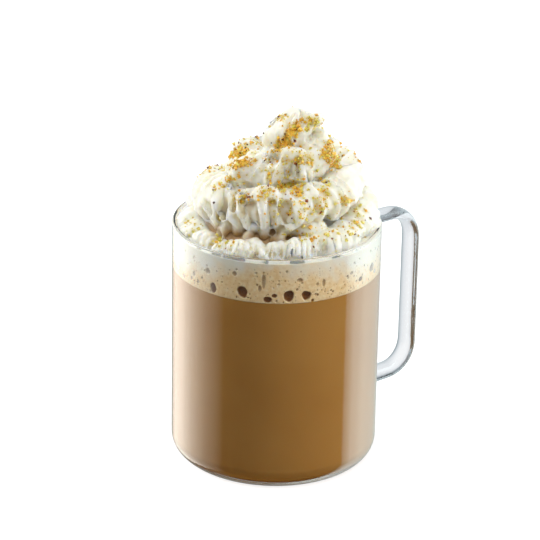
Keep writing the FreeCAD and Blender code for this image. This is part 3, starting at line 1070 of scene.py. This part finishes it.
def make_world():
    """White for the camera, a plain level for the drink, and a studio for the glass to show."""
    world = bpy.data.worlds.new("studio")
    bpy.context.scene.world = world
    world.use_nodes = True
    tree = world.node_tree
    sky = tree.nodes["Background"]
    path = tree.nodes.new("ShaderNodeLightPath").outputs
    direction = tree.nodes.new("ShaderNodeTexCoord").outputs["Generated"]
    up = from_vector(tree, direction, (0, 0, 1))

    # What shows through the glass darkens upwards, and gives way to the table downwards.
    behind = by_bearing(tree, direction, studio_behind)
    behind = math_node(tree, "MULTIPLY", behind, map_range(tree, up, -0.05, 0.45, 1.0, 0.42))
    down = map_range(tree, up, -0.66, -0.86, 0.0, 1.0)
    behind = math_node(tree, "MULTIPLY", behind, math_node(tree, "SUBTRACT", 1.0, down))
    behind = math_node(tree, "ADD", behind, math_node(tree, "MULTIPLY", down, table_below))

    # A ray that sharp glass bends counts as glossy too, so that is taken off the mirrored ones.
    passing = path["Is Transmission Ray"]
    bounced = math_node(tree, "SUBTRACT", path["Is Glossy Ray"], passing)
    bounced = math_node(tree, "MAXIMUM", bounced, 0.0)
    mirrored = by_bearing(tree, direction, mirrored_studio)
    straight = math_node(tree, "ADD", math_node(tree, "MULTIPLY", mirrored, bounced),
                         math_node(tree, "MULTIPLY", behind, passing))
    straight = math_node(tree, "ADD", straight, path["Is Camera Ray"])

    # Rays from matt surfaces meet only the plain level.
    scattered = math_node(tree, "GREATER_THAN", path["Diffuse Depth"], 0.5)
    direct = math_node(tree, "SUBTRACT", 1.0, scattered)
    strength = math_node(tree, "ADD", math_node(tree, "MULTIPLY", straight, direct),
                         math_node(tree, "MULTIPLY", scattered, ambient))
    tree.links.new(strength, sky.inputs["Strength"])
    colour = mix_colour(tree, passing, (1, 1, 1), add_ramp(tree, behind, behind_tints))
    colour = mix_colour(tree, bounced, colour, mirrored_tint)
    tree.links.new(colour, sky.inputs["Color"])


def make_card():
    """The card left of the mug. Its brightness runs along it, from front to back."""
    material, tree, surface = bare_material("card_glow")
    near, far = card_left[0][0], card_left[-1][0]
    corners = [spot(-90, card_distance, height) + spot(0, along, 0)
               for height in (card_low, card_high) for along in (near, far)]
    card = new_piece("card", corners, [(0, 1, 3, 2)], material)
    hide_from(card, "camera", "diffuse", "transmission", "shadow")
    forward = from_vector(tree, position_of(tree), spot(0, 1, 0))
    run = map_range(tree, forward, near * MM, far * MM, 0.0, 1.0)
    stops = [((along - near) / (far - near), (level / brightest,) * 3) for along, level in card_left]
    level = math_node(tree, "MULTIPLY", add_ramp(tree, run, stops), card_strength)
    glow = tree.nodes.new("ShaderNodeEmission")
    glow.inputs["Color"].default_value = (1.0, 0.98, 0.90, 1)
    tree.links.new(level, glow.inputs["Strength"])
    tree.links.new(glow.outputs[0], surface)


def make_table_glow():
    """The warm light that the drink throws on the table, seen only through the glass base."""
    material, tree, surface = bare_material("table_glow")
    rings = (0.5, 20.0, 34.0, 38.0, 44.0, 52.0)
    steps = 96
    angles = np.arange(steps) * 2 * math.pi / steps
    points = np.vstack([ring(radius, angles, -0.1) for radius in rings])
    disc = new_piece("table_glow", points, grid_faces(len(rings), steps), material)
    hide_from(disc, "camera", "diffuse", "glossy", "shadow")
    colours = [(0.0, (0.46, 0.29, 0.09)), (0.68, (0.50, 0.33, 0.12)), (0.84, (0.62, 0.50, 0.32)),
               (1.0, (0.72, 0.71, 0.69))]
    distance = from_vector(tree, position_of(tree))
    run = map_range(tree, distance, 0.0, rings[-1] * MM, 0.0, 1.0)
    glow = tree.nodes.new("ShaderNodeEmission")
    tree.links.new(add_ramp(tree, run, colours), glow.inputs["Color"])
    tree.links.new(glow.outputs[0], surface)


def make_lamp(name, bearing, elevation, width, height, watts):
    """A softbox that faces the mug, and that the glass doesn't show."""
    lamp = bpy.data.lights.new(name, "AREA")
    lamp.shape = "RECTANGLE"
    lamp.size = width
    lamp.size_y = height
    lamp.energy = watts
    piece = new_object(name, lamp)
    rise = math.radians(elevation)
    away = spot(bearing, math.cos(rise), math.sin(rise))
    piece.location = lamp_aim + away * lamp_distance
    piece.rotation_euler = away.to_track_quat("Z", "Y").to_euler()
    hide_from(piece, "glossy", "transmission")


def make_camera():
    """The camera looks down at the mug from bearing 0, with a small roll."""
    side = Vector((0, 0, 1)).cross(toward_camera).normalized()
    up = toward_camera.cross(side)
    roll = math.radians(camera_roll)
    tilted_side = side * math.cos(roll) + up * math.sin(roll)
    tilted_up = up * math.cos(roll) - side * math.sin(roll)
    camera = bpy.data.cameras.new("camera")
    camera.lens = camera_lens
    piece = new_object("camera", camera)
    turned = Matrix((tilted_side, tilted_up, toward_camera)).transposed().to_4x4()
    turned.translation = (camera_target + toward_camera * camera_distance) * MM
    piece.matrix_world = turned
    bpy.context.scene.camera = piece


def main():
    """Makes the stage, then every piece."""
    bpy.context.scene.view_settings.view_transform = "Standard"
    make_camera()
    make_world()
    make_floor()
    for lamp in lamps:
        make_lamp(*lamp)
    make_card()
    make_table_glow()
    finish_mug()
    make_coffee(make_coffee_material())
    make_foam(make_foam_material())
    cream = make_cream(make_cream_material())
    make_crumbs(cream)


main()
